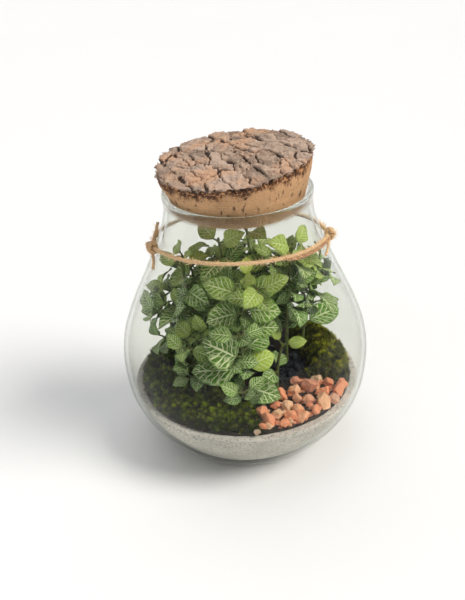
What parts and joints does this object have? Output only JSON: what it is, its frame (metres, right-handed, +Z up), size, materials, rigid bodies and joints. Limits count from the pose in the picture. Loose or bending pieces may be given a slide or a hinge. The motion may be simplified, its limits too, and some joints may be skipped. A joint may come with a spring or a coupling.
{
  "type": "terrarium",
  "caption": "Pear-shaped glass jar with a tapered cork stopper and a twine tie, holding a bed of sand, soil, moss and gravel planted with net-veined foliage.",
  "frame": {"origin": "centre of the jar's flat underside", "axes": "+Z up along the jar's axis, -Y towards the front, +X to the right seen from the front"},
  "size_m": [0.18, 0.18, 0.2267],
  "materials": {
    "glass_jar": "clear blown glass, faintly grey-green",
    "drainage_sand": "fine pale grey sand, matt",
    "potting_soil": "dark crumbly potting soil, matt",
    "moss_left": "dark green moss with brown bits, matt",
    "moss_right": "brighter olive green moss, matt",
    "red_gravel": "angular terracotta-red chips, matt",
    "black_gravel": "dark, slightly glossy stone chips",
    "pale_stone": "beige stone chip, matt",
    "fittonia": "living leaf, green with pale net veins, soft sheen",
    "cork_stopper": "natural cork with cracked grey-brown bark on top",
    "twine": "hairy jute twine"
  },
  "bodies": {
    "root": {"glass_jar": "glass_jar", "drainage_sand": "drainage_sand", "potting_soil": "potting_soil", "moss_left": "moss_left", "moss_right": "moss_right", "red_gravel": "red_gravel", "black_gravel": "black_gravel", "pale_stone": "pale_stone", "fittonia_front": "fittonia", "fittonia_low_right": "fittonia", "fittonia_far_right": "fittonia", "fittonia_right": "fittonia", "fittonia_low_left": "fittonia", "fittonia_far_left": "fittonia", "fittonia_left": "fittonia", "fittonia_top": "fittonia", "fittonia_centre": "fittonia", "fittonia_back": "fittonia", "fittonia_left_back": "fittonia", "fittonia_right_back": "fittonia", "cork_stopper": "cork_stopper", "twine": "twine"}
  },
  "joints": []
}
